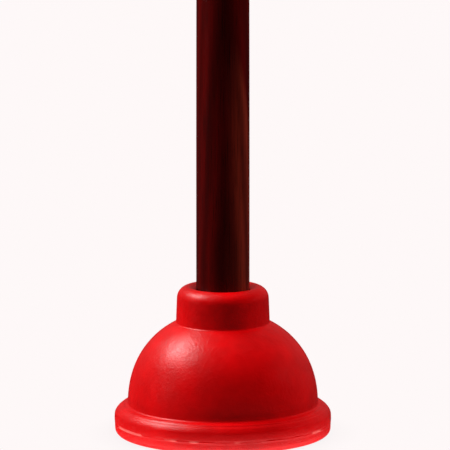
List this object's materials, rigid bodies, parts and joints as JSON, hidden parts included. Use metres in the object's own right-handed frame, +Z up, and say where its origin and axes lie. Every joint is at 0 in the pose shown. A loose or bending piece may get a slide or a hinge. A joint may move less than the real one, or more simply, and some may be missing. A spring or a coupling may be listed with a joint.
{
  "type": "toilet plunger",
  "caption": "Small force-cup plunger: a flexible rubber bell with a beaded rim, screwed to a plain turned wooden handle, for clearing blocked drains by pressing.",
  "frame": {"origin": "centre of the cup's sealing face, on the surface that the plunger stands on", "axes": "+Z up along the handle, the axis that the cup and the handle are turned about"},
  "size_m": [0.102, 0.102, 0.38],
  "materials": {
    "red_rubber": "moulded red rubber, smooth with a soft sheen",
    "stained_wood": "turned hardwood, dark mahogany stain under satin lacquer",
    "zinc_plated_steel": "bright zinc plate"
  },
  "bodies": {
    "cup": {"cup_rim": "red_rubber", "cup_wall": "red_rubber"},
    "shaft": {"cup_neck": "red_rubber", "handle": "stained_wood", "washer": "zinc_plated_steel", "fixing_screw": "zinc_plated_steel"}
  },
  "joints": [
    {"name": "cup_press", "type": "slide", "parent": "cup", "child": "shaft", "axis": [0, 0, 1], "range_m": [-0.024, 0], "stiffness_N_per_m": 4000, "deforming": ["cup_wall"]}
  ]
}
